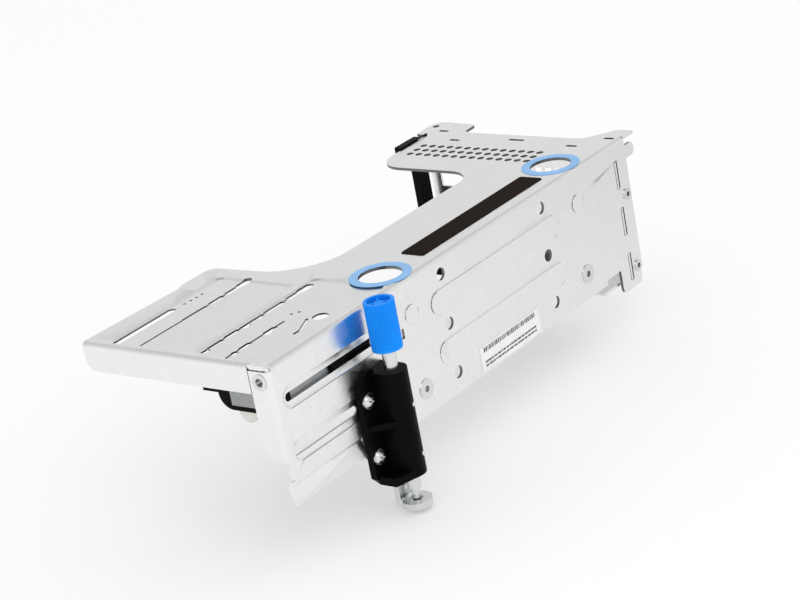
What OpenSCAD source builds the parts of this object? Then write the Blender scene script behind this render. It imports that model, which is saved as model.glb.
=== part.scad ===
// Riser cage bracket: a folded sheet-steel cage for two horizontal expansion cards, with its
// captive thumbscrew, sliding card latch, card guide, finger rings and riveted end wall.
// Axes: X along the front fold, +Y into the cage, +Z up. Origin: mouth of the threaded hole
// in the left end flange.

/* [Sheet] */
// Thickness of the folded sheet
sheet_t = 1.2; // [1.0:0.1:1.5]
// Outer radius of every fold
fold_r = 1.8; // [1.6:0.1:2.2]
// Length of the side wall along the front fold
wall_len = 234.5; // [226:0.5:250]
// Height of the side wall below the top face
wall_h = 55.8; // [54:0.2:62]
// Distance between two card slots
card_pitch = 20.32; // [20:0.02:21]
// Drop from the top face to the first row of wall holes
first_row = 6.93; // [6.5:0.1:8]

/* [Top plate] */
// Depth of the left platform
left_depth = 89.5; // [84:0.5:98]
// Width of the left platform
left_w = 73.5; // [71:0.5:76]
// Depth of the narrow waist between the platforms
waist_depth = 41.5; // [38:0.5:46]
// Depth of the right platform
right_depth = 94.3; // [92:0.5:98]
// Width of the right platform
right_w = 44; // [42:0.5:46]
// Diameter of the vent holes in the right platform
vent_d = 3.1; // [2.5:0.1:3.6]

/* [Finger holes] */
// Outer diameter of the finger rings
ring_d = 23; // [21:0.5:25]
// Clear diameter inside the finger rings
finger_d = 16.6; // [15:0.2:18]
// Width of the grip strip between the rings
strip_w = 11; // [8:0.5:12]

/* [Thumbscrew] */
// Diameter of the knob
knob_d = 11.6; // [10:0.2:12.4]
// Length of the knob
knob_len = 18.8; // [16:0.2:20]
// Diameter of the thumbscrew shaft
shaft_d = 5.24; // [4.6:0.02:5.6]
// Diameter of the threaded tip
tip_d = 3.2; // [2.8:0.1:3.8]
// Free travel of the captive screw
screw_travel = 4.4; // [3:0.2:6]
// Height of the moulded screw block
block_h = 43.7; // [40:0.5:44]

/* [Card latch] */
// Travel of the sliding card latch
latch_travel = 5; // [3:0.5:5]
// Length of the latch bar
latch_len = 58; // [54:0.5:60]

/* [Hidden] */
$fn = 48;

fit = 0.05;               // gap between parts that are seated in each other
run = 0.08;               // radial clearance of the turning shaft
cut = 1;                  // overrun of every cut
zinc = "#c9cccb";
black = "#141414";
blue = "#1e8fe8";
steel = "#b9bdbf";

// Place of the threaded hole that is the origin, from the corner of the folds
nut_y = 4.9;
nut_drop = 6.3;

right_x = 185.5;                              // left edge of the right platform
right_end = right_x + right_w;
screw_x = 54.5;                               // axis of the thumbscrew
screw_y = -8.5;
screw_top = 3.3;                              // top of the knob above the top face
block_top = -22.3;
block_bottom = block_top - block_h;
ear_t = 2.8;                                  // thickness of the block's screw ears
ear_x = 41.3;                                 // outer edge of the ears
block_screw_x = 44.6;
block_screw_z = [-33, -55.6];
arm_t = 2.5;                                  // steel of the screw's foot arm
arm_top = -76.6;
eye_bore = 2.5;           // radius of the arm's eye, clear of the boss that the tip enters
ring_centres = [[81.9, 12.2], [199, 12.8]];
hole_x = [101.9, 170.4];                      // columns of the round wall holes
hole_d = 5.06;
boss_x = 94 - 0.8;                            // left end of the long shallow bosses
boss_len = 87;
boss_h = 9.6;
wall_boss_z = first_row + card_pitch / 2;     // centre of the upper boss
slot_z = [15, 15 + card_pitch];               // centres of the two wall slots
slot_h = 3.3;
recess_h = 9;
recess_t = 0.7;                               // depth of the shallow forms in the wall
recess_x = 4.6;                               // left end of the wall recesses
standoff_x = [81.5, 195];
standoff_z = 45.4;
dimple_z = 14.7;
end_x = 225.4;                                // outer face of the end wall
tab_z = [14.3, 34.6, 54.9];                   // centres of the end wall's three tabs
tab_len = 12.1;
rivet_x = 231;
rivet_z = [24.1, 56.3];

latch_y = sheet_t + recess_t + 0.65;           // wall side of the latch bar
latch_top = -9.6;
latch_bottom = -20.5;
latch_guides = [[6.9, 9.6], [33, 41]];        // stretches of the bar that stand in the slot
spring_seat_x = latch_len + 11.5;             // seat of the latch spring on the wall
spring_from = spring_seat_x - 21;

function arc(c, r, from, to, n = 8) =
    [for (i = [0:n]) c + r * [cos(from + (to - from) * i / n), sin(from + (to - from) * i / n)]];

// Moves the corner of the folds so that the threaded hole comes to the origin
module from_corner() { translate([0, -nut_y, nut_drop]) children(); }

// A cylinder along X, Y or Z that starts at the point p
module rod_x(p, r, len) { translate(p) rotate([0, 90, 0]) cylinder(r = r, h = len); }
module rod_y(p, r, len) { translate(p) rotate([-90, 0, 0]) cylinder(r = r, h = len); }
module rod_z(p, r, len) { translate(p) cylinder(r = r, h = len); }

// A flat form with round ends, from x0 to x1 and of height h about y = 0
module obround(x0, x1, h) {
    translate([x0 + h / 2, -h / 2]) square([x1 - x0 - h, h]);
    translate([x0 + h / 2, 0]) circle(d = h);
    translate([x1 - h / 2, 0]) circle(d = h);
}

// A flat form with four round corners
module rounded(x0, y0, x1, y1, r) {
    translate([x0 + r, y0]) square([x1 - x0 - 2 * r, y1 - y0]);
    translate([x0, y0 + r]) square([x1 - x0, y1 - y0 - 2 * r]);
    for (x = [x0 + r, x1 - r]) for (y = [y0 + r, y1 - r]) translate([x, y]) circle(r = r);
}

// Stands a form drawn in x and drop-from-the-top in the plane of the wall, from y0 inwards
module on_wall(y0, depth) {
    translate([0, y0 + depth, 0]) rotate([90, 0, 0]) linear_extrude(depth) mirror([0, 1]) children();
}

// Extrudes a section drawn in y and z along X
module along_x(x0, len) {
    translate([x0, 0, 0]) rotate([90, 0, 90]) linear_extrude(len) children();
}

// Section of a fold between a level sheet and a sheet that hangs down from its edge at y = 0
module fold_section(level_len, drop_len) {
    difference() {
        union() {
            translate([fold_r, -sheet_t]) square([level_len - fold_r, sheet_t]);
            translate([0, -drop_len]) square([sheet_t, drop_len - fold_r]);
            intersection() {
                translate([fold_r, -fold_r]) circle(r = fold_r);
                translate([0, -fold_r]) square(fold_r);
            }
        }
        translate([fold_r, -fold_r]) circle(r = fold_r - sheet_t);
    }
}

// Outline of the top plate, seen from above
module plate_outline() {
    waist_r = 26;
    polygon(concat(
        [[0.2, fold_r], [0.2, nut_y * 2 - 0.4], [fold_r, nut_y * 2 - 0.4], [fold_r, left_depth + 1]],
        [[left_w - 21, left_depth - 1.3], [left_w - 18.5, left_depth], [left_w - 5, left_depth]],
        arc([left_w - 5, left_depth - 4.5], 4.5, 90, 0),
        arc([left_w + 0.5 + waist_r, waist_depth + waist_r], waist_r, 180, 270),
        arc([right_x - 12, waist_depth + 12], 12, -90, 0),
        arc([right_x + 13, right_depth - 13], 13, 180, 90),
        [[right_end - 7.5, right_depth], [right_end - 5.5, right_depth + 1.6], [right_end - 5, right_depth + 6]],
        arc([right_end + 4.5, right_depth + 0.3], 6.4, 90, 0),
        arc([right_end + 5, right_depth - 12], 5, 0, -40, 3),
        arc([right_end + 6, right_depth - 20], 6, 130, 180, 4),
        arc([right_end + 8, 21], 8, 180, 235, 5),
        arc([right_end + 7, 4.4], 5.6, 75, 0, 5),
        [[right_end + 12.6, 0], [wall_len, 0], [wall_len, fold_r]]
    ));
}

// One long slot of the left platform: a narrow cut with wider stretches, at depth y
module platform_slot(y, x0, x1, wide) {
    translate([x0, y - 0.45]) square([x1 - x0, 0.9]);
    for (w = wide) translate([w[0], y - w[2]]) square([w[1] - w[0], 2 * w[2]]);
}

module platform_slots() {
    platform_slot(76, 2.8, 35, [[20, 34, 0.7]]);
    platform_slot(64.6, 4.3, 66, [[28, 41, 0.8], [43.5, 51, 1.1], [53, 66.4, 1.3]]);
    platform_slot(35.4, 5, 66.6, [[9, 17, 0.8], [18.5, 26, 1.1], [27, 40, 0.8], [41.5, 52, 1.1], [54.5, 67.8, 1.3]]);
    platform_slot(22.4, 3.4, 37, [[7, 9.5, 1], [11.5, 17.5, 1.1], [26, 31.2, 1.1]]);
    // a hooked key slot
    translate([27.7, 10.1]) square([4.5, 1.1]);
    translate([31.6, 10.1]) rotate(24) square([10.5, 1.1]);
    translate([43.6, 11.2]) circle(r = 2.6);
    // pairs of small tool marks
    for (p = [[41, 75.4], [44.4, 75.2], [47.4, 74.9], [50.6, 74.9], [43, 24], [45.4, 22.2]])
        translate(p) circle(d = 1.2, $fn = 16);
}

module plate_holes() {
    for (i = [0:2]) for (j = [0:13])
        translate([201.5 + 5 * i, 26.4 + 4.66 * j]) circle(d = vent_d, $fn = 24);
    for (c = ring_centres) translate(c) circle(d = finger_d + 2.2);
    translate([right_end + 5.2, right_depth + 2.9]) circle(d = 3, $fn = 24);
    for (s = [[229.8, 89.4, 5], [220, 76.6, 5.3], [224, 46.8, 8], [220.8, 16.8, 5.5], [231.4, 4.9, 5]])
        translate([s[0], s[1]]) rotate(90) obround(-s[2] / 2, s[2] / 2, 1.7);
    platform_slots();
}

// The side wall's outline: its lower edge drops to a foot at the right
module wall_outline() {
    difference() {
        union() {
            translate([fold_r, fold_r]) square([wall_len - fold_r, wall_h - fold_r]);
            translate([wall_len - 16, wall_h - cut]) square([14, cut + 6]);
            rounded(wall_len - 15.9, wall_h - 8, wall_len - 1.2, wall_h + 8.5, 2);
            // hooked ear beyond the right edge
            rounded(wall_len - 4, 4, wall_len + 6.5, 9.6, 2.4);
        }
        // notch in the lower edge before the foot
        translate([wall_len - 26.5, wall_h - 2]) square([10.4, 2 + cut]);
        // the lower left stretch is the joggled lip
        translate([-cut, 46]) square([ear_x + cut + 0.5, 20]);
        for (x = hole_x) for (k = [0:2])
            translate([x, first_row + card_pitch * k]) circle(d = hole_d);
        for (z = tab_z) translate([end_x, z - tab_len / 2]) square([1.5, tab_len]);
        for (z = rivet_z) translate([rivet_x, z]) circle(r = 1.6);
        for (x = standoff_x) translate([x, standoff_z]) circle(r = 2.6);
        for (z = block_screw_z) translate([block_screw_x, -z]) circle(r = 1.55);
        // lanced window right of the knob
        translate([72.4, 17.6]) square([2.6, 4]);
    }
}

// Shallow forms of the wall: raised on the outside and hollow behind, by recess_t / 2
module wall_bosses(grow) {
    for (k = [0, 1]) translate([0, wall_boss_z + card_pitch * k])
        obround(boss_x - grow, boss_x + boss_len + grow, boss_h + 2 * grow);
    for (x = [81.2, 195.6]) translate([x, dimple_z]) circle(r = 3.9 + grow);
}

module wall_recesses(grow) {
    translate([0, slot_z[0]]) obround(recess_x - grow, 68 + grow, recess_h + 2 * grow);
    translate([0, slot_z[1]]) obround(recess_x - grow, 52 + grow, recess_h + 2 * grow);
}

module wall_slots() {
    translate([0, slot_z[0]]) obround(6.6, 66, slot_h);
    translate([0, slot_z[1]]) obround(4.9, 41.8, slot_h + 0.3);
}

module side_wall() {
    half = recess_t / 2;
    difference() {
        union() {
            on_wall(0, sheet_t) wall_outline();
            on_wall(-half, sheet_t) wall_bosses(0);
            on_wall(recess_t, sheet_t) intersection() { wall_recesses(0.9); wall_outline(); }
        }
        on_wall(sheet_t - half, 2 * half + cut) wall_bosses(-0.8);
        on_wall(-cut, cut + recess_t) wall_recesses(0);
        on_wall(-cut, 5) wall_slots();
    }
}

// The joggled lip under the left stretch of the wall: a step in, then a flare out
module wall_lip() {
    along_x(0.4, ear_x - 0.4) polygon([[0, -45], [sheet_t, -45], [sheet_t, -46], [1.2 + sheet_t, -47.2],
        [-0.7 + sheet_t, -54], [-0.7, -54], [1.1, -47.4], [0, -46.3]]);
}

// The wall's end flange, turned in round the left corner
module corner_flange() {
    top = 2.2;
    bottom = 37.3;
    reach = 9.5;
    translate([0, 0, -bottom]) linear_extrude(bottom - top) difference() {
        union() {
            translate([fold_r, 0]) square([cut, sheet_t]);
            intersection() {
                translate([fold_r, fold_r]) circle(r = fold_r);
                square(fold_r);
            }
        }
        translate([fold_r, fold_r]) circle(r = fold_r - sheet_t);
    }
    translate([0, 0, -bottom]) rotate([90, 0, 90]) linear_extrude(sheet_t) difference() {
        translate([fold_r, 0]) square([reach - fold_r, bottom - top]);
        translate([reach - 6, -cut]) square([6 + cut, 6 + cut]);
        translate([nut_y, bottom - nut_drop]) circle(r = 2.6);
    }
    translate([0, reach - 6, 6 - bottom]) rotate([90, 0, 90]) linear_extrude(sheet_t) intersection() {
        circle(r = 6);
        translate([0, -6]) square([6, 6]);
    }
}

// The top plate's end flange
module end_flange() {
    drop = 11.3;
    from = nut_y * 2;
    to = left_depth + 1;
    difference() {
        translate([0, to, 0]) rotate([90, 0, 0]) linear_extrude(to - from) fold_section(fold_r + cut, drop);
        translate([-cut, to - 5, -drop - cut]) cube([sheet_t + 2 * cut, 5 + cut, 5 + cut]);
    }
    translate([0, to - 5, 5 - drop]) rotate([90, 0, 90]) linear_extrude(sheet_t) intersection() {
        circle(r = 5);
        translate([0, -5]) square([5, 5]);
    }
}

module cage_body() {
    color(zinc) from_corner() {
        difference() {
            union() {
                translate([0, 0, -sheet_t]) linear_extrude(sheet_t) plate_outline();
                along_x(fold_r, wall_len - fold_r) fold_section(fold_r + cut, fold_r + cut);
            }
            translate([0, 0, -5]) linear_extrude(10) plate_holes();
        }
        side_wall();
        wall_lip();
        corner_flange();
        end_flange();
    }
}

// Upright end wall with three tabs through the side wall and a riveted flange beside them
module end_wall() {
    depth = 97;
    top = 1.25;
    bottom = 60.5;
    color(zinc) from_corner() {
        difference() {
            union() {
                translate([end_x, sheet_t, -bottom]) cube([sheet_t, depth - sheet_t, bottom - top]);
                for (z = tab_z) translate([end_x + 0.1, 0.1, -z - tab_len / 2 + 0.1])
                    cube([sheet_t, sheet_t, tab_len - 0.2]);
            }
            // windows: a large one behind each card place and a small one near the back
            for (z = [19, 39.3]) translate([end_x - cut, 14, -z - 6.5]) cube([4, 58, 13]);
            translate([end_x - cut, 80, -24]) cube([4, 12, 14]);
            // relief at the fold
            translate([end_x - cut, 0, -3]) cube([4, sheet_t + 1.2, 3]);
        }
        // flange along the inside of the side wall, past the tabs
        difference() {
            translate([end_x, sheet_t, -bottom]) cube([wall_len - 0.6 - end_x, sheet_t, bottom - 12]);
            for (z = rivet_z) rod_y([rivet_x, 0, -z], 1.6, 5);
        }
        // level flange at the foot
        translate([207, sheet_t + 0.3, -bottom]) cube([end_x - 207 + cut, 60, sheet_t]);
        // bars between the windows, turned in
        for (y = [30, 48]) translate([end_x - 6, y, -27]) cube([6 + cut / 2, sheet_t, 5]);
    }
}

module end_wall_rivets() {
    color(steel) from_corner() for (z = rivet_z) difference() {
        union() {
            rod_y([rivet_x, -0.7, -z], 2.4, 0.7);
            rod_y([rivet_x, 0, -z], 1.6, 2 * sheet_t);
            rod_y([rivet_x, 2 * sheet_t, -z], 2.2, 0.6);
        }
        rod_y([rivet_x, -cut, -z], 1.05, cut + 1.6);
    }
}

// Moulded guide for the far edge of the cards, hooked over the back edge of the plate
module card_guide() {
    back = right_depth + 0.3;
    color(black) from_corner() difference() {
        union() {
            translate([212, back, -58]) cube([9, 4, 59]);
            translate([204, back, -4]) cube([17, 4, 5.6]);
            translate([204, back - 2.6, 0.02]) cube([17, 4, 1.58]);
            for (k = [0, 1]) translate([208, back - 7, -19.5 - card_pitch * k]) cube([13, 10, 8]);
        }
        // the groove that takes each card's edge
        for (k = [0, 1]) translate([200, back - 8, -16.4 - card_pitch * k]) cube([30, 6.4, 1.9]);
    }
}

module finger_ring(c) {
    color(blue) from_corner() translate(c) difference() {
        union() {
            translate([0, 0, 0.02]) cylinder(d = ring_d, h = 0.8);
            translate([0, 0, -sheet_t - 1]) cylinder(d = finger_d + 2, h = sheet_t + 1.1);
        }
        translate([0, 0, -5]) cylinder(d = finger_d, h = 10);
    }
}

module finger_ring_left() { finger_ring(ring_centres[0]); }
module finger_ring_right() { finger_ring(ring_centres[1]); }

module grip_strip() {
    color("#241c18") from_corner() translate([0, 12.2 - strip_w / 2, 0.01])
        linear_extrude(0.6) rounded(101.7, 0, 184.2, strip_w, 1);
}

module blank_label() {
    color("#f4f4f0") from_corner() on_wall(-0.16, 0.15) rounded(116.6, 44.6, 157.4, 54.8, 0.5);
}

// Clinched standoffs that carry the riser board on the inside of the wall
module board_standoffs() {
    color(steel) from_corner() for (x = standoff_x) difference() {
        union() {
            rod_y([x, -0.35, -standoff_z], 4, 0.34);
            rod_y([x, -0.35, -standoff_z], 2.55, sheet_t + 2);
            rod_y([x, sheet_t + 0.01, -standoff_z], 3.1, 4);
        }
        rod_y([x, -cut, -standoff_z], 1.25, 10);
    }
}

// Threaded clinch nut in the left end flange; its mouth is the origin
module flange_nut() {
    color(steel) difference() {
        union() {
            rod_x([-0.3, 0, 0], 3.3, 0.29);
            rod_x([-0.3, 0, 0], 2.55, sheet_t + 1);
            rod_x([sheet_t + 0.01, 0, 0], 3.2, 2);
        }
        rod_x([-cut, 0, 0], 1.65, 10);
    }
}

// Moulded block that guides the captive thumbscrew, with a thin ear for its two screws
module screw_block() {
    barrel_r = knob_d / 2 - 0.1;
    mid_z = block_top - 22.5;
    color(black) from_corner() difference() {
        union() {
            rod_z([screw_x, screw_y, block_bottom], barrel_r, block_h - 1.5);
            translate([screw_x - barrel_r, screw_y, block_bottom])
                cube([2 * barrel_r, -screw_y - 0.02, block_h - 1.5]);
            // ear with a bevelled upper corner
            translate([0, -0.02, 0]) rotate([90, 0, 0]) linear_extrude(ear_t) polygon([
                [ear_x, block_bottom + 2.5], [ear_x + 2.5, block_bottom], [screw_x, block_bottom],
                [screw_x, block_top - 1.5], [screw_x - 3.5, block_top - 1.5], [screw_x - 4.5, block_top],
                [ear_x + 6, block_top], [ear_x, block_top - 5]]);
            // deep foot and the middle web
            translate([0, 0, block_bottom]) linear_extrude(3.2) polygon([
                [ear_x + 2.5, -0.02], [ear_x + 1, -3], [ear_x + 1, -10.6], [ear_x + 6, -12.2],
                [screw_x, screw_y - barrel_r], [screw_x, -0.02]]);
            translate([0, 0, mid_z]) linear_extrude(2.4) polygon([
                [ear_x + 0.5, -ear_t], [screw_x - 4, -12.2], [screw_x, -12.2], [screw_x, -ear_t]]);
        }
        rod_z([screw_x, screw_y, block_bottom - cut], shaft_d / 2 + run, block_h + 2 * cut);
        for (z = block_screw_z) rod_y([block_screw_x, -8, z], 1.6, 10);
        // socket of the foot arm
        translate([screw_x - 5.1 - fit, -5 - fit, block_bottom - cut]) cube([10.2 + 2 * fit, arm_t + 2 * fit, 21]);
        for (p = [[56.6, -38.5], [56.8, -58.5]]) rod_y([p[0], -16, p[1]], 0.85, 4);
    }
}

module block_screws() {
    head_y = -0.02 - ear_t;
    color(steel) from_corner() for (z = block_screw_z) difference() {
        union() {
            rod_y([block_screw_x, head_y - 0.3, z], 1.5, ear_t + sheet_t + 1.8);
            rod_y([block_screw_x, head_y - 0.62, z], 3.1, 0.61);
            intersection() {
                rod_y([block_screw_x, head_y - 2.2, z], 2.6, 1.9);
                translate([block_screw_x, head_y + 0.9, z]) sphere(r = 3.1);
            }
        }
        for (a = [20, 110]) translate([block_screw_x, head_y - 2.5, z]) rotate([0, a, 0])
            translate([-1.5, 0, -0.3]) cube([3, 1.3, 0.6]);
    }
}

// Two small cross pins that keep the screw in the barrel
module barrel_pins() {
    color(steel) from_corner() for (p = [[56.6, -38.5], [56.8, -58.5]])
        rod_y([p[0], screw_y - 5.35, p[1]], 0.8, 1.3);
}

// Steel arm under the block: its foot is an eye that the screw's tip stands in
module screw_arm() {
    foot = arm_top - arm_t - 0.1;
    bend = 4;
    color(steel) from_corner() difference() {
        union() {
            along_x(screw_x - 5.1, 10.2) {
                translate([-5, foot + bend]) square([arm_t, block_bottom + 19.9 - foot - bend]);
                translate([screw_y, foot]) square([-2.5 - bend - screw_y, arm_top - foot]);
                difference() {
                    intersection() {
                        translate([-2.5 - bend, foot + bend]) circle(r = bend);
                        translate([-2.5 - bend, foot]) square(bend);
                    }
                    translate([-2.5 - bend, foot + bend]) circle(r = bend - arm_t);
                }
            }
            rod_z([screw_x, screw_y, foot], 5.8, arm_top - foot);
        }
        rod_z([screw_x, screw_y, foot - cut], eye_bore, 5);
    }
}

// Knurled knob, hollow at the top, with four ribs inside
module thumbscrew_knob() {
    r = knob_d / 2;
    flutes = 32;
    color(blue) from_corner() translate([screw_x, screw_y, screw_top - knob_len]) difference() {
        union() {
            difference() {
                cylinder(r = r, h = knob_len);
                translate([0, 0, knob_len - 7]) cylinder(r = r - 1.3, h = 7 + cut);
            }
            for (a = [0:3]) rotate(45 + 90 * a) translate([1.6, -0.5, knob_len - 7.5]) cube([r - 2.6, 1, 6.6]);
            translate([0, 0, knob_len - 8]) cylinder(r = 2.2, h = 7);
        }
        for (i = [0:flutes - 1]) rotate(360 * i / flutes) translate([r + 0.12, 0, 1.2])
            cylinder(r = 0.38, h = knob_len, $fn = 16);
        translate([0, 0, -cut]) cylinder(d = shaft_d + fit, h = 9 + cut);
    }
}

module thumbscrew_shaft() {
    shoulder = arm_top + screw_travel + 0.2;
    top = screw_top - knob_len + 9;
    groove = block_bottom - 1.3;
    color(steel) from_corner() difference() {
        union() {
            rod_z([screw_x, screw_y, shoulder], shaft_d / 2, top - shoulder);
            rod_z([screw_x, screw_y, arm_top - 3], tip_d / 2, shoulder - arm_top + 3);
            translate([screw_x, screw_y, arm_top - 4]) cylinder(r1 = tip_d / 2 - 0.8, r2 = tip_d / 2, h = 1);
        }
        translate([screw_x, screw_y, groove]) difference() {
            cylinder(r = 5, h = 0.8);
            translate([0, 0, -cut]) cylinder(r = 2.05, h = 3);
        }
    }
}

// Open retaining clip in the shaft's groove, under the block
module screw_clip() {
    color("#6f7375") from_corner() translate([screw_x, screw_y, block_bottom - 1.3 + 0.04]) difference() {
        cylinder(r = 3.7, h = 0.72);
        translate([0, 0, -cut]) cylinder(r = 2.1, h = 3);
        translate([-1.9, 0, -cut]) cube([3.8, 8, 3]);
    }
}

// Sliding latch inside the wall: a gate across the card end, a bar along the wall with two
// guides in the upper wall slot, and a thumb tab at the gate's free end
module card_latch() {
    reach = 26.5;
    corner = 6;
    color(black) from_corner() {
        difference() {
            union() {
                translate([3, latch_y, latch_bottom]) cube([3.6, reach - corner, latch_top - latch_bottom]);
                translate([3, latch_y + reach - corner - 0.1, latch_bottom + corner])
                    cube([3.6, corner + 0.1, latch_top - latch_bottom - corner]);
                translate([3, latch_y + reach - corner, latch_bottom + corner]) rotate([90, 0, 90])
                    linear_extrude(3.6) intersection() {
                        circle(r = corner);
                        translate([-0.1, -corner]) square([corner + 0.1, corner + 0.1]);
                    }
            }
            // pocket for the steel facing
            translate([3 - cut, 5.9, latch_top - 9.1]) cube([cut + 0.6, 17.7, 8.2]);
        }
        // thumb tab
        translate([3, latch_y + reach - 1, latch_top - 4.6]) cube([2.2, 8.2, 2.6]);
        // bar along the wall, bored for the spring, with its two guides in the slot
        difference() {
            translate([6.5, latch_y, latch_bottom]) cube([latch_len - 6.5, 5.8, latch_top - latch_bottom]);
            rod_x([spring_from - latch_travel - 1, latch_y + 2.9, -slot_z[0]], 2.2, 40);
        }
        for (g = latch_guides) on_wall(recess_t + 0.1, latch_y - recess_t) intersection() {
            translate([0, slot_z[0]]) obround(latch_guides[0][0], latch_guides[1][1] + slot_h, slot_h - 0.6);
            translate([g[0], 0]) square([g[1] - g[0], 2 * slot_z[0]]);
        }
    }
}

// Grey steel facing let into the gate of the latch
module latch_plate() {
    color("#8b9090") from_corner() translate([3, 6, latch_top - 9]) cube([0.55, 17.5, 8]);
}

// Steel liner on the latch bar, seen through the wall slot between the guides
module latch_liner() {
    color("#8b9090") from_corner() translate([latch_guides[0][1] + 0.1, latch_y - 0.4, -slot_z[0] - 2.2])
        cube([latch_guides[1][0] - latch_guides[0][1] - 0.2, 0.4, 4.4]);
}

// Pale moulded tip under the gate
module latch_tip() {
    color("#d8d9d2") from_corner() translate([3.2, 16.5, latch_bottom]) rotate([90, 0, 90])
        linear_extrude(2.6) intersection() {
            circle(r = 4.3);
            translate([-5, -10]) square(10);
        }
}

// Compression spring that pushes the latch towards the card end, at its pressed length: it
// stands in the bore of the latch bar
module latch_spring() {
    turns = 16;
    wire = 0.7;
    pitch = (spring_seat_x - 0.1 - spring_from - wire) / (turns - 1);
    color(steel) from_corner() translate([spring_from + wire / 2, latch_y + 2.9, -slot_z[0]]) rotate([0, 90, 0])
        for (i = [0:turns - 1]) translate([0, 0, pitch * i])
            rotate_extrude() translate([1.55, 0]) circle(d = wire, $fn = 16);
}

// Small steel seat on the wall that the spring stands against
module spring_seat() {
    color(zinc) from_corner() {
        translate([spring_seat_x, sheet_t + recess_t + 0.01, -slot_z[0] - 3]) cube([1.2, 6.4, 6]);
        translate([spring_seat_x, sheet_t + recess_t + 0.01, -slot_z[0] - 3]) cube([5, 1, 6]);
    }
}

cage_body();
end_wall();
end_wall_rivets();
card_guide();
finger_ring_left();
finger_ring_right();
grip_strip();
blank_label();
board_standoffs();
flange_nut();
screw_block();
block_screws();
barrel_pins();
screw_arm();
thumbscrew_knob();
thumbscrew_shaft();
screw_clip();
card_latch();
latch_plate();
latch_tip();
latch_liner();
latch_spring();
spring_seat();
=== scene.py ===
import bpy
import bmesh
import math
import numpy as np
from mathutils import Matrix, Vector


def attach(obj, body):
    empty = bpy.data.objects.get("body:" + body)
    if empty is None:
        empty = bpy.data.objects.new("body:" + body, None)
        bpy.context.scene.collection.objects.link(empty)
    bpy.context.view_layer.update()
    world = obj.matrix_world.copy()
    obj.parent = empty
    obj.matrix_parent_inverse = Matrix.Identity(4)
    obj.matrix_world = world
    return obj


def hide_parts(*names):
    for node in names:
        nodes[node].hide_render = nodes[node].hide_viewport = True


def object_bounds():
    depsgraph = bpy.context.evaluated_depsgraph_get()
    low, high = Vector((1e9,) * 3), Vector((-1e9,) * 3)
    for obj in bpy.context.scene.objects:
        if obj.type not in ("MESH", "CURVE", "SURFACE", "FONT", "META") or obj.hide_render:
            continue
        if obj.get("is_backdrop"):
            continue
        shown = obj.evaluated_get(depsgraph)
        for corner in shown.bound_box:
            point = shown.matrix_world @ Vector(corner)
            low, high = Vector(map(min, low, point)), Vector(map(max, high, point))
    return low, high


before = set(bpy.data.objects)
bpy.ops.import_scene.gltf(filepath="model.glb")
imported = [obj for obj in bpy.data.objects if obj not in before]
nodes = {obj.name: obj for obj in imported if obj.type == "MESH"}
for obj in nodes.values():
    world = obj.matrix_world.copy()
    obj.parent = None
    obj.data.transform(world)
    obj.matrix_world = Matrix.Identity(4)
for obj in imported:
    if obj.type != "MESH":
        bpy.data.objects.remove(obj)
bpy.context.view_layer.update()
print("frame loaded:", len(nodes), "nodes")

# Place in metres, roll in degrees, lens and sensor in millimetres
viewpoint = {"place": (-0.5530, -0.5478, 0.3175), "look": (0.7071, 0.6102, -0.3573),
             "roll": -10.90, "lens": 108.5, "sensor": 36.0, "clip": (0.01, 50.0)}


def makeCamera(v):
    look = Vector(v["look"]).normalized()
    level = look.cross(Vector((0, 0, 1))).normalized()
    upright = level.cross(look)
    roll = math.radians(v["roll"])
    right = level * math.cos(roll) + upright * math.sin(roll)
    up = right.cross(look)
    data = bpy.data.cameras.new("studioCamera")
    data.lens = v["lens"]
    data.sensor_width = v["sensor"]
    data.clip_start, data.clip_end = v["clip"]
    cam = bpy.data.objects.new("studioCamera", data)
    turn = Matrix((right, up, -look)).transposed().to_4x4()
    cam.matrix_world = Matrix.Translation(Vector(v["place"])) @ turn
    bpy.context.scene.collection.objects.link(cam)
    bpy.context.scene.camera = cam


makeCamera(viewpoint)
bpy.context.scene.view_settings.view_transform = "Standard"
print("camera set")


# Node helpers: inputs are given as numbers, or as sockets to link
def setInput(tree, socket, value):
    if isinstance(value, bpy.types.NodeSocket):
        tree.links.new(value, socket)
    else:
        socket.default_value = value


def addNode(tree, kind, settings=None, **inputs):
    made = tree.nodes.new(kind)
    for name, value in (settings or {}).items():
        setattr(made, name, value)
    for name, value in inputs.items():
        key = int(name[1:]) if name[0] == "i" and name[1:].isdigit() else name.replace("_", " ")
        setInput(tree, made.inputs[key], value)
    return made


def mathNode(tree, operation, a, b=0.0, c=0.0):
    made = addNode(tree, "ShaderNodeMath", {"operation": operation}, i0=a, i1=b)
    if operation == "MULTIPLY_ADD":
        setInput(tree, made.inputs[2], c)
    return made.outputs[0]


def rangeNode(tree, value, low, high, outLow, outHigh):
    return addNode(tree, "ShaderNodeMapRange", None, Value=value, From_Min=low, From_Max=high,
                   To_Min=outLow, To_Max=outHigh).outputs[0]


def mixColour(tree, factor, a, b, blend="MIX"):
    kind = {"data_type": "RGBA", "blend_type": blend}
    return addNode(tree, "ShaderNodeMix", kind, i0=factor, i6=a, i7=b).outputs[2]


def newGroup(name, inputs, outputs):
    group = bpy.data.node_groups.new(name, "ShaderNodeTree")
    for label, kind, value in inputs:
        socket = group.interface.new_socket(name=label, in_out="INPUT", socket_type=kind)
        if value is not None:
            socket.default_value = value
    for label, kind in outputs:
        group.interface.new_socket(name=label, in_out="OUTPUT", socket_type=kind)
    return group, group.nodes.new("NodeGroupInput"), group.nodes.new("NodeGroupOutput")


def useGroup(tree, group, **inputs):
    return addNode(tree, "ShaderNodeGroup", {"node_tree": group}, **inputs)


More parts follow.
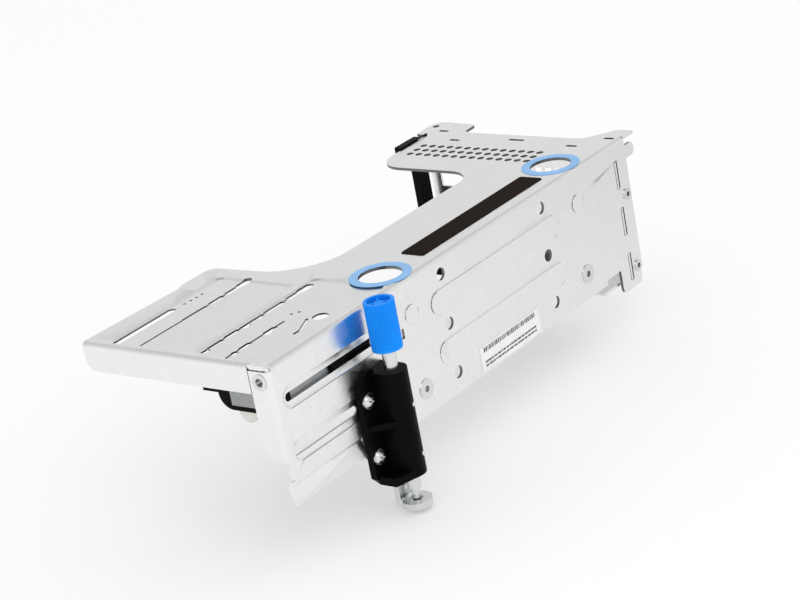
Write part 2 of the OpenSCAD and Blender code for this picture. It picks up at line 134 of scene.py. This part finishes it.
def newMaterial(name):
    material = bpy.data.materials.new(name)
    material.use_nodes = True
    tree = material.node_tree
    shader = tree.nodes["Principled BSDF"]
    place = tree.nodes.new("ShaderNodeTexCoord").outputs["Object"]
    return material, tree, shader, place


numberSocket, colourSocket, vectorSocket = "NodeSocketFloat", "NodeSocketColor", "NodeSocketVector"


# Zinc bloom: crystals from two cell patterns on a warped place, a fine grain over them, and long
# faint rolling marks. Tone = 1 + contrast * the sum of weight * (pattern - 0.5).
bloomMix = {"warp": 0.0022, "smallScale": 3.1, "cloudScale": 38.0, "grainScale": 2600.0,
            "rolling": (6.0, 500.0, 500.0), "crystal": 0.45, "small": 0.35, "cloud": 1.5, "grain": 0.7,
            "rolled": 0.5}


def buildSpangle(m):
    group, gin, gout = newGroup("spangle", [("Place", vectorSocket, None), ("Size", numberSocket, 0.004),
                                            ("Contrast", numberSocket, 0.05)],
                                [("Tone", numberSocket), ("Gloss", numberSocket), ("Height", numberSocket)])
    place, size, contrast = gin.outputs[:3]
    inverse = mathNode(group, "DIVIDE", 1.0, size)
    warp = addNode(group, "ShaderNodeTexNoise", None, Vector=place, Scale=inverse, Detail=2.0)
    drift = addNode(group, "ShaderNodeVectorMath", {"operation": "SCALE"}, i0=warp.outputs["Color"],
                    Scale=m["warp"])
    moved = addNode(group, "ShaderNodeVectorMath", {"operation": "ADD"}, i0=place, i1=drift.outputs[0])
    cells = addNode(group, "ShaderNodeTexVoronoi", {"feature": "F1"}, Vector=moved.outputs[0], Scale=inverse,
                    Randomness=1.0)
    split = addNode(group, "ShaderNodeSeparateColor", None, Color=cells.outputs["Color"])
    fineScale = mathNode(group, "MULTIPLY", inverse, m["smallScale"])
    small = addNode(group, "ShaderNodeTexVoronoi", {"feature": "F1"}, Vector=moved.outputs[0],
                    Scale=fineScale)
    smallSplit = addNode(group, "ShaderNodeSeparateColor", None, Color=small.outputs["Color"])
    cloud = addNode(group, "ShaderNodeTexNoise", None, Vector=place, Scale=m["cloudScale"], Detail=3.0,
                    Roughness=0.6)
    grain = addNode(group, "ShaderNodeTexNoise", None, Vector=place, Scale=m["grainScale"], Detail=2.0)
    stretched = addNode(group, "ShaderNodeMapping", None, Vector=place, Scale=m["rolling"])
    rolled = addNode(group, "ShaderNodeTexNoise", None, Vector=stretched.outputs[0], Scale=1.0, Detail=2.0)
    patterns = {"crystal": split.outputs[0], "small": smallSplit.outputs[1], "cloud": cloud.outputs["Fac"],
                "grain": grain.outputs["Fac"], "rolled": rolled.outputs["Fac"]}
    total = 0.0
    for name, pattern in patterns.items():
        part = mathNode(group, "MULTIPLY_ADD", pattern, m[name], -m[name] / 2)
        total = mathNode(group, "ADD", total, part)
    group.links.new(mathNode(group, "MULTIPLY_ADD", total, contrast, 1.0), gout.inputs["Tone"])
    gloss = mathNode(group, "ADD", mathNode(group, "MULTIPLY", split.outputs[2], 0.5),
                     mathNode(group, "MULTIPLY", cloud.outputs["Fac"], 0.5))
    group.links.new(gloss, gout.inputs["Gloss"])
    height = mathNode(group, "ADD", mathNode(group, "MULTIPLY", split.outputs[1], 0.6),
                      mathNode(group, "MULTIPLY", grain.outputs["Fac"], 0.4))
    group.links.new(height, gout.inputs["Height"])
    return group


# Moulded grain: a fine pitted skin with a slow change of tone.
def buildMouldGrain():
    group, gin, gout = newGroup("mouldGrain", [("Place", vectorSocket, None),
                                               ("Scale", numberSocket, 1800.0)],
                                [("Tone", numberSocket), ("Height", numberSocket)])
    place, scale = gin.outputs[:2]
    pits = addNode(group, "ShaderNodeTexNoise", None, Vector=place, Scale=scale, Detail=3.0, Roughness=0.65)
    slow = addNode(group, "ShaderNodeTexNoise", None, Vector=place, Scale=70.0, Detail=2.0)
    group.links.new(mathNode(group, "MULTIPLY_ADD", slow.outputs["Fac"], 0.3, 0.85), gout.inputs["Tone"])
    group.links.new(pits.outputs["Fac"], gout.inputs["Height"])
    return group


# Painted shade on a sheet's cut edges: 1 where the surface lies inside the sheet's thickness, measured down
# from the top (z), in from the wall (y) or in from the left flanges (x), and faces along the sheet. There the
# metal takes a dark colour for the shade and dark reflections inside its holes, slots and edges.
def buildCutEdgeShade():
    group, gin, gout = newGroup("cutEdgeShade", [("Place", vectorSocket, None), ("Facing", vectorSocket, None),
                                            ("Corner", vectorSocket, None)], [("Mask", numberSocket)])
    place, facing, corner = gin.outputs[:3]
    moved = addNode(group, "ShaderNodeVectorMath", {"operation": "SUBTRACT"}, i0=place, i1=corner).outputs[0]
    where = addNode(group, "ShaderNodeSeparateXYZ", None, Vector=moved).outputs
    turned = addNode(group, "ShaderNodeVectorMath", {"operation": "ABSOLUTE"}, i0=facing).outputs[0]
    faces = addNode(group, "ShaderNodeSeparateXYZ", None, Vector=turned).outputs

    def below(a, b):
        return mathNode(group, "LESS_THAN", a, b)

    def above(a, b):
        return mathNode(group, "GREATER_THAN", a, b)

    def both(*masks):
        found = masks[0]
        for mask in masks[1:]:
            found = mathNode(group, "MULTIPLY", found, mask)
        return found

    sheet, bend = 0.00122, 0.0019  # metres: just over the sheet's thickness, and over its bend
    plate = both(above(where[2], -sheet), below(faces[2], 0.5), above(where[1], bend), above(where[0], bend))
    wall = both(below(where[1], sheet), below(faces[1], 0.5), below(where[2], -bend), above(where[0], bend))
    flange = both(below(where[0], sheet), below(faces[0], 0.5), below(where[2], -bend), above(where[1], bend))
    found = mathNode(group, "MAXIMUM", mathNode(group, "MAXIMUM", plate, wall), flange)
    group.links.new(found, gout.inputs["Mask"])
    return group


spangle = buildSpangle(bloomMix)
mouldGrain = buildMouldGrain()
cutEdgeShade = buildCutEdgeShade()

# The zinc's dark edge colour is painted shade, laid on its cut edges and hole walls
zincLook = {"colour": (0.845, 0.85, 0.845, 1), "rough": (0.20, 0.30), "size": 0.0042, "contrast": 0.035,
            "bump": 0.12, "edge": (0.16, 0.165, 0.165, 1)}
brightLook = {"colour": (0.72, 0.73, 0.735, 1), "rough": (0.16, 0.32), "size": 0.002, "contrast": 0.03,
              "bump": 0.06}
dullLook = {"colour": (0.33, 0.34, 0.34, 1), "rough": (0.3, 0.45), "size": 0.002, "contrast": 0.06,
            "bump": 0.1}
blackLook = {"colour": (0.0016, 0.0016, 0.0018, 1), "rough": 0.5, "specular": 0.06, "grain": 1500.0,
             "bump": 0.25}
blueLook = {"colour": (0.008, 0.30, 1.0, 1), "rough": 0.4, "specular": 0.1, "grain": 1200.0, "bump": 0.12}
ringLook = {"colour": (0.28, 0.53, 0.88, 1), "rough": 0.4, "specular": 0.12, "grain": 1200.0, "bump": 0.12}
stripLook = {"colour": (0.012, 0.006, 0.003, 1), "rough": 0.7, "specular": 0.06, "grain": 700.0, "bump": 0.5}
labelLook = {"colour": (0.93, 0.93, 0.92, 1), "rough": 0.5, "specular": 0.1, "grain": 1500.0, "bump": 0.05}
paleLook = {"colour": (0.72, 0.73, 0.68, 1), "rough": 0.35, "specular": 0.4, "grain": 1500.0, "bump": 0.1}
inkLook = {"colour": (0.16, 0.16, 0.17, 1), "rough": 0.6, "specular": 0.1, "grain": 1500.0, "bump": 0.05}


# The look's colour multiplied by a grey tone
def tonedColour(tree, colour, tone):
    grey = addNode(tree, "ShaderNodeCombineColor", None, Red=tone, Green=tone, Blue=tone)
    return mixColour(tree, 1.0, colour, grey.outputs[0], "MULTIPLY")


def metalMaterial(name, look, corner=None):
    material, tree, shader, place = newMaterial(name)
    bloom = useGroup(tree, spangle, Place=place, Size=look["size"], Contrast=look["contrast"])
    colour = tonedColour(tree, look["colour"], bloom.outputs["Tone"])
    # Painted shade: the cut edges and hole walls take the look's dark edge colour
    if corner is not None:
        facing = tree.nodes.new("ShaderNodeTexCoord").outputs["Normal"]
        edge = useGroup(tree, cutEdgeShade, Place=place, Facing=facing, Corner=corner)
        colour = mixColour(tree, edge.outputs["Mask"], colour, look["edge"])
    tree.links.new(colour, shader.inputs["Base Color"])
    rough = rangeNode(tree, bloom.outputs["Gloss"], 0.2, 0.8, *look["rough"])
    tree.links.new(rough, shader.inputs["Roughness"])
    lift = addNode(tree, "ShaderNodeBump", None, Strength=look["bump"], Distance=0.00002,
                   Height=bloom.outputs["Height"])
    tree.links.new(lift.outputs[0], shader.inputs["Normal"])
    shader.inputs["Metallic"].default_value = 1.0
    return material


def plasticMaterial(name, look):
    material, tree, shader, place = newMaterial(name)
    skin = useGroup(tree, mouldGrain, Place=place, Scale=look["grain"])
    tree.links.new(tonedColour(tree, look["colour"], skin.outputs["Tone"]), shader.inputs["Base Color"])
    lift = addNode(tree, "ShaderNodeBump", None, Strength=look["bump"], Distance=0.00004,
                   Height=skin.outputs["Height"])
    tree.links.new(lift.outputs[0], shader.inputs["Normal"])
    shader.inputs["Roughness"].default_value = look["rough"]
    shader.inputs["Specular IOR Level"].default_value = look["specular"]
    return material


# Corner where the sheet's folds meet, from the threaded hole that is the origin
foldCorner = (0.0, -0.0049, 0.0063)
zinc = metalMaterial("galvanisedSheet", zincLook, foldCorner)
brightSteel = metalMaterial("brightSteel", brightLook)
dullSteel = metalMaterial("dullSteel", dullLook)
blackPlastic = plasticMaterial("blackMoulding", blackLook)
bluePlastic = plasticMaterial("blueMoulding", blueLook)
ringBlue = plasticMaterial("ringBlue", ringLook)
stripDark = plasticMaterial("gripStrip", stripLook)
labelWhite = plasticMaterial("labelWhite", labelLook)
palePlastic = plasticMaterial("paleMoulding", paleLook)
ink = plasticMaterial("labelInk", inkLook)

finish = {
    "cage_body": zinc, "end_wall": zinc, "spring_seat": zinc,
    "end_wall_rivets": brightSteel, "board_standoffs": brightSteel, "flange_nut": brightSteel,
    "block_screws": brightSteel, "barrel_pins": brightSteel, "screw_arm": brightSteel,
    "thumbscrew_shaft": brightSteel, "latch_spring": brightSteel,
    "screw_clip": dullSteel, "latch_plate": dullSteel, "latch_liner": dullSteel,
    "card_guide": blackPlastic, "screw_block": blackPlastic, "card_latch": blackPlastic,
    "thumbscrew_knob": bluePlastic, "finger_ring_left": ringBlue, "finger_ring_right": ringBlue,
    "grip_strip": stripDark, "blank_label": labelWhite, "latch_tip": palePlastic,
}
for name, material in finish.items():
    mesh = nodes[name].data
    if not mesh.materials:
        mesh.materials.append(material)
    for slotted in nodes[name].material_slots:
        slotted.material = material
print("materials made")

# Working units below are millimetres from the corner of the folds; toFrame puts them in the frame
mm = 0.001
sheetThick = 1.2


def toFrame(points):
    return np.asarray(points, float) * mm + np.array(foldCorner)


# A closed mesh from a list of points and faces, in the frame
def newMesh(name, points, faces):
    mesh = bpy.data.meshes.new(name)
    mesh.from_pydata(toFrame(points).tolist(), [], [list(map(int, face)) for face in faces])
    mesh.update()
    return mesh


# Edges past the sharp angle, in degrees, stay sharp. Elsewhere the larger faces lead the shading.
shading = {"sharpAngle": 18, "faceWeight": 90}


def newPiece(name, mesh, material, body, stands=()):
    piece = bpy.data.objects.new(name, mesh)
    bpy.context.scene.collection.objects.link(piece)
    mesh.materials.clear()
    mesh.materials.append(material)
    mesh.shade_smooth()
    mesh.set_sharp_from_angle(angle=math.radians(shading["sharpAngle"]))
    flat = piece.modifiers.new("flatFaces", "WEIGHTED_NORMAL")
    flat.weight, flat.keep_sharp = shading["faceWeight"], True
    if stands:
        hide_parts(*stands)
    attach(piece, body)
    return piece


# Profile of (radius, height) points carried round an axis through the centre: point = centre +
# radius * (cos, sin) across the axis + height along it. The profile is closed on itself.
def revolve(name, profile, centre, axis="z", steps=64):
    turn = np.linspace(0, 2 * np.pi, steps, endpoint=False)
    ring = np.asarray(profile, float)
    across = ring[None, :, 0] * np.cos(turn)[:, None]
    aside = ring[None, :, 0] * np.sin(turn)[:, None]
    along = np.broadcast_to(ring[None, :, 1], across.shape)
    order = {"z": (across, aside, along), "y": (aside, along, across), "x": (along, across, aside)}[axis]
    points = np.stack(order, -1) + np.asarray(centre, float)
    count = len(ring)
    i, j = np.meshgrid(np.arange(steps), np.arange(count), indexing="ij")
    nextI, nextJ = (i + 1) % steps, (j + 1) % count
    faces = np.stack([i * count + j, nextI * count + j, nextI * count + nextJ, i * count + nextJ], -1)
    return newMesh(name, points.reshape(-1, 3), faces.reshape(-1, 4))


# A flat outline in x and y carried from one height to another; the upper outline may be larger,
# which gives sloped sides.
def prism(name, lower, upper, low, high):
    lower, upper = np.asarray(lower, float), np.asarray(upper, float)
    n = len(lower)
    points = np.vstack([np.column_stack([lower, np.full(n, low)]),
                        np.column_stack([upper, np.full(n, high)])])
    k = np.arange(n)
    sides = np.stack([k, (k + 1) % n, (k + 1) % n + n, k + n], -1)
    return newMesh(name, points, [list(k[::-1]), list(k + n)] + sides.tolist())


def obroundOutline(x0, x1, y, width, steps=10):
    r = width / 2
    angle = np.linspace(-90, 90, steps) * np.pi / 180
    right = np.column_stack([x1 - r + r * np.cos(angle), y + r * np.sin(angle)])
    left = np.column_stack([x0 + r - r * np.cos(angle), y - r * np.sin(angle)])
    return np.vstack([right, left])


def roundedOutline(x0, y0, x1, y1, r, steps=6):
    angle = np.linspace(0, 90, steps) * np.pi / 180
    found = []
    corners = ((x1 - r, y1 - r, 0), (x0 + r, y1 - r, 90), (x0 + r, y0 + r, 180), (x1 - r, y0 + r, 270))
    for cx, cy, start in corners:
        a = angle + math.radians(start)
        found.append(np.column_stack([cx + r * np.cos(a), cy + r * np.sin(a)]))
    return np.vstack(found)


# Copies a CAD node's mesh with its doubles merged, and cuts the given meshes out of it in turn
def carved(node, cutters):
    mesh = nodes[node].data.copy()
    work = bmesh.new()
    work.from_mesh(mesh)
    bmesh.ops.remove_doubles(work, verts=work.verts, dist=1e-6)
    work.to_mesh(mesh)
    work.free()
    block = bpy.data.objects.new(node + "Blank", mesh)
    bpy.context.scene.collection.objects.link(block)
    tools = []
    for cutter in cutters:
        tool = bpy.data.objects.new(cutter.name, cutter)
        bpy.context.scene.collection.objects.link(tool)
        tools.append(tool)
        cut = block.modifiers.new(cutter.name, "BOOLEAN")
        cut.operation = "DIFFERENCE"
        cut.solver = "EXACT"
        cut.object = tool
    done = bpy.data.meshes.new_from_object(block.evaluated_get(bpy.context.evaluated_depsgraph_get()))
    for thing in tools + [block]:
        bpy.data.objects.remove(thing)
    return done


# Left platform: long adjuster slots with open ends, and two panels pressed a little lower. An opening
# is (x from, x to, y, width) and a panel (x from, y from, x to, y to, corner). A panel's cutter goes on
# above the plate by the rise, a share of its slope and depth.
platform = {"depth": 0.5, "slope": 1.1, "rise": 0.2, "through": (-4.0, 1.0),
            "openings": [(2.8, 36.2, 76.3, 3.5), (59.6, 67.6, 64.7, 3.7), (60.6, 69.2, 35.3, 3.7),
                         (6.6, 9.4, 21.8, 3.2), (24.6, 28.6, 21.8, 3.4), (29.6, 31.8, 21.9, 3.0),
                         (5.2, 8.6, 34.6, 2.6), (27.4, 31.4, 34.6, 3.0), (36.0, 38.6, 34.8, 2.8),
                         (40.6, 47.2, 11.0, 6.0)],
            "panels": [(2.6, 2.2, 73.6, 37.9, 2.2), (2.6, 39.6, 66.0, 79.6, 2.2)]}


def platformCutters(p):
    cutters = []
    for k, (x0, x1, y, width) in enumerate(p["openings"]):
        outline = obroundOutline(x0, x1, y, min(width, x1 - x0))
        cutters.append(prism("platformSlot%d" % k, outline, outline, *p["through"]))
    for k, (x0, y0, x1, y1, r) in enumerate(p["panels"]):
        floor = roundedOutline(x0 + p["slope"], y0 + p["slope"], x1 - p["slope"], y1 - p["slope"], r)
        over = p["slope"] * p["rise"]
        rim = roundedOutline(x0 - over, y0 - over, x1 + over, y1 + over, r + p["slope"])
        cutters.append(prism("platformPanel%d" % k, floor, rim, -p["depth"], p["depth"] * p["rise"]))
    return cutters


# Side wall: the tab slots stand open beside their tabs
wallSlots = {"x": (225.0, 227.3), "z": [(-7.9, -19.9), (-28.4, -40.7), (-48.8, -61.0)], "front": -1.0,
             "depth": 0.9}


def wallCutters(w):
    cutters = []
    for k, (top, bottom) in enumerate(w["z"]):
        x0, x1 = w["x"]
        outline = [(x0, w["front"]), (x1, w["front"]), (x1, w["depth"]), (x0, w["depth"])]
        cutters.append(prism("tabSlot%d" % k, outline, outline, bottom, top))
    return cutters


sheet = carved("cage_body", platformCutters(platform) + wallCutters(wallSlots))
newPiece("foldedCage", sheet, zinc, "frame", ("cage_body",))
print("folded cage carved:", len(sheet.polygons), "faces")

# Finger rings: a thin blue rim on the plate, and the plate's own rolled eyelet inside it
fingerRing = {"centres": {"left": (81.9, 12.2), "right": (199.0, 12.8)}, "outer": 12.1, "inner": 8.5,
              "thick": 0.32, "bevel": 0.25, "lift": 0.02, "gap": 0.02, "seat": 9.5, "steps": 96}


def makeFingerRing(side, r):
    centre = (*r["centres"][side], 0.0)
    a, b, t = r["inner"], r["outer"], r["thick"]
    rim = [(a, r["lift"]), (b, r["lift"]), (b, t * 0.5), (b - r["bevel"], t), (a + r["bevel"], t),
           (a, t * 0.5)]
    name = "fingerRim_" + side
    newPiece(name, revolve(name, rim, centre, steps=r["steps"]), ringBlue, "frame",
             ("finger_ring_" + side,))
    inside = a + r["gap"]
    eyelet = [(inside, -sheetThick), (r["seat"], -sheetThick), (r["seat"], 0.0), (inside, 0.0)]
    name = "eyelet_" + side
    newPiece(name, revolve(name, eyelet, centre, steps=r["steps"]), zinc, "frame")


for side in fingerRing["centres"]:
    makeFingerRing(side, fingerRing)
print("finger rims made")

# Grip strip: a thin skin over the strip's bed
strip = {"x": (101.9, 184.0), "y": (6.8, 17.6), "low": 0.01, "thick": 0.3, "corner": 0.9}


def makeGripSkin(g):
    outline = roundedOutline(g["x"][0], g["y"][0], g["x"][1], g["y"][1], g["corner"])
    mesh = prism("gripSkin", outline, outline, g["low"], g["thick"])
    newPiece("gripSkin", mesh, stripDark, "frame", ("grip_strip",))


makeGripSkin(strip)


# A box from its low and high corners, and several of them as one mesh
def box(low, high):
    x0, y0, z0 = low
    x1, y1, z1 = high
    points = [(x0, y0, z0), (x1, y0, z0), (x1, y1, z0), (x0, y1, z0), (x0, y0, z1), (x1, y0, z1),
              (x1, y1, z1), (x0, y1, z1)]
    faces = [(0, 3, 2, 1), (4, 5, 6, 7), (0, 1, 5, 4), (1, 2, 6, 5), (2, 3, 7, 6), (3, 0, 4, 7)]
    return points, faces


def joinedBoxes(name, boxes):
    points, faces = [], []
    for low, high in boxes:
        more, sides = box(low, high)
        faces += [[i + len(points) for i in side] for side in sides]
        points += more
    return newMesh(name, points, faces)


# End wall: upright bars across its windows
bars = {"x": (225.45, 226.5), "width": 1.15, "pitch": 4.95, "first": 16.6, "last": 71.0,
        "rows": [(-12.5, -25.5), (-32.8, -45.8)]}


def makeEndWallBars(b):
    boxes = []
    for top, bottom in b["rows"]:
        for y in np.arange(b["first"], b["last"], b["pitch"]):
            boxes.append(((b["x"][0], y, bottom), (b["x"][1], y + b["width"], top)))
    newPiece("endWallBars", joinedBoxes("endWallBars", boxes), zinc, "frame")


makeEndWallBars(bars)

# Card guide: a low hook over the plate's back edge, an upright web and a lower rail, each a box
cardGuide = {"hookTop": ((205.2, 94.7, 0.03), (219.4, 98.2, 0.75)),
             "hookBack": ((205.2, 96.5, -3.6), (219.4, 98.2, 0.03)),
             "hookTail": ((219.4, 94.7, 0.03), (224.6, 95.4, 0.6)),
             "web": ((213.6, 94.7, -58.0), (220.9, 98.2, -1.3)),
             "rail": ((209.2, 20.0, -59.6), (224.9, 96.0, -57.0))}
newPiece("cardHook", joinedBoxes("cardHook", cardGuide.values()), blackPlastic, "frame",
         ("card_guide",))
print("guide and bars made")

# Label: rows of plain bars. A row is (drop below the fold, height), and the taller row has finer bars.
label = {"rows": [(53.2, 0.8), (51.6, 0.8), (47.2, 1.9)], "x": (119.0, 154.5), "y": (-0.2, -0.165),
         "tallFrom": 1.0, "fine": (0.3, 1.1), "coarse": (0.8, 2.6), "gap": (0.25, 0.6), "seed": 7}


def makeLabelBars(g):
    rng = np.random.default_rng(g["seed"])
    boxes = []
    for drop, tall in g["rows"]:
        x, end = g["x"]
        widths = g["fine"] if tall > g["tallFrom"] else g["coarse"]
        while x < end:
            width = float(rng.uniform(*widths))
            boxes.append(((x, g["y"][0], -drop), (min(x + width, end), g["y"][1], -drop + tall)))
            x += width + float(rng.uniform(*g["gap"]))
    newPiece("labelBars", joinedBoxes("labelBars", boxes), ink, "frame")


makeLabelBars(label)

# The floor's dim colour is painted shade, seen only in the metal's gloss
studio = {"floorDrop": 0.0006, "floorSize": 6.0, "floorColour": (0.88, 0.88, 0.88, 1), "floorLift": 0.15,
          "floorGlossShade": (0.62, 0.62, 0.62, 1), "fallFrom": 0.10, "fallTo": 0.50, "worldLight": 0.92,
          "glossLow": 0.93, "glossHigh": 0.62, "glossFrom": 0.05, "glossTo": 0.8, "floorRough": 0.9}
lamps = {"keyLamp": {"place": (-0.55, -0.95, 0.9), "target": (0.0, -0.05, 0.0), "size": 0.8, "power": 2.2}}


def makeFloor(s):
    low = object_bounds()[0]
    half = s["floorSize"] / 2
    z = low[2] - s["floorDrop"]
    mesh = bpy.data.meshes.new("studioFloor")
    corners = [(-half, -half, z), (half, -half, z), (half, half, z), (-half, half, z)]
    mesh.from_pydata(corners, [], [(0, 1, 2, 3)])
    floor = bpy.data.objects.new("studioFloor", mesh)
    bpy.context.scene.collection.objects.link(floor)
    material = bpy.data.materials.new("studioFloor")
    material.use_nodes = True
    tree = material.node_tree
    shader = tree.nodes["Principled BSDF"]
    shader.inputs["Base Color"].default_value = s["floorColour"]
    shader.inputs["Roughness"].default_value = s["floorRough"]
    shader.inputs["Specular IOR Level"].default_value = 0.0
    rays = tree.nodes.new("ShaderNodeLightPath").outputs
    seen = mathNode(tree, "MAXIMUM", rays["Is Camera Ray"], rays["Is Glossy Ray"])
    seen = mathNode(tree, "MAXIMUM", seen, rays["Is Transmission Ray"])
    shader.inputs["Emission Color"].default_value = (1, 1, 1, 1)
    tree.links.new(mathNode(tree, "MULTIPLY", seen, s["floorLift"]), shader.inputs["Emission Strength"])
    # painted shade in reflection: in the metal's gloss the floor grows darker to the right, which darkens the
    # side wall's reflection to the right
    place = tree.nodes.new("ShaderNodeTexCoord").outputs["Object"]
    across = addNode(tree, "ShaderNodeSeparateXYZ", None, Vector=place).outputs[0]
    fall = rangeNode(tree, across, s["fallFrom"], s["fallTo"], 0.0, 1.0)
    fall = mathNode(tree, "MULTIPLY", fall, rays["Is Glossy Ray"])
    tree.links.new(mixColour(tree, fall, s["floorColour"], s["floorGlossShade"]), shader.inputs["Base Color"])
    mesh.materials.append(material)
    floor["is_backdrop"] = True


# The world is white to the camera, darker overhead in gloss, and a plain soft light elsewhere
def makeWorld(s):
    world = bpy.data.worlds.new("studioWorld")
    bpy.context.scene.world = world
    world.use_nodes = True
    tree = world.node_tree
    back = tree.nodes["Background"]
    rays = tree.nodes.new("ShaderNodeLightPath").outputs
    direction = tree.nodes.new("ShaderNodeTexCoord").outputs["Generated"]
    up = addNode(tree, "ShaderNodeSeparateXYZ", None, Vector=direction).outputs[2]
    dome = rangeNode(tree, up, s["glossFrom"], s["glossTo"], s["glossLow"], s["glossHigh"])
    change = mathNode(tree, "SUBTRACT", dome, s["worldLight"])
    extra = mathNode(tree, "MULTIPLY", rays["Is Glossy Ray"], change)
    glossy = mathNode(tree, "ADD", extra, s["worldLight"])
    seen = mathNode(tree, "MAXIMUM", rays["Is Camera Ray"], rays["Is Transmission Ray"])
    back.inputs["Color"].default_value = (1, 1, 1, 1)
    tree.links.new(mathNode(tree, "MAXIMUM", glossy, seen), back.inputs["Strength"])


def makeLamp(name, s):
    data = bpy.data.lights.new(name, "AREA")
    data.shape = "SQUARE"
    data.size = s["size"]
    data.energy = s["power"]
    lamp = bpy.data.objects.new(name, data)
    lamp.location = s["place"]
    aim = (Vector(s["target"]) - Vector(s["place"])).normalized()
    lamp.rotation_mode = "QUATERNION"
    lamp.rotation_quaternion = aim.to_track_quat("-Z", "Y")
    bpy.context.scene.collection.objects.link(lamp)


makeFloor(studio)
makeWorld(studio)
for lampName, lampValues in lamps.items():
    makeLamp(lampName, lampValues)
print("studio set")
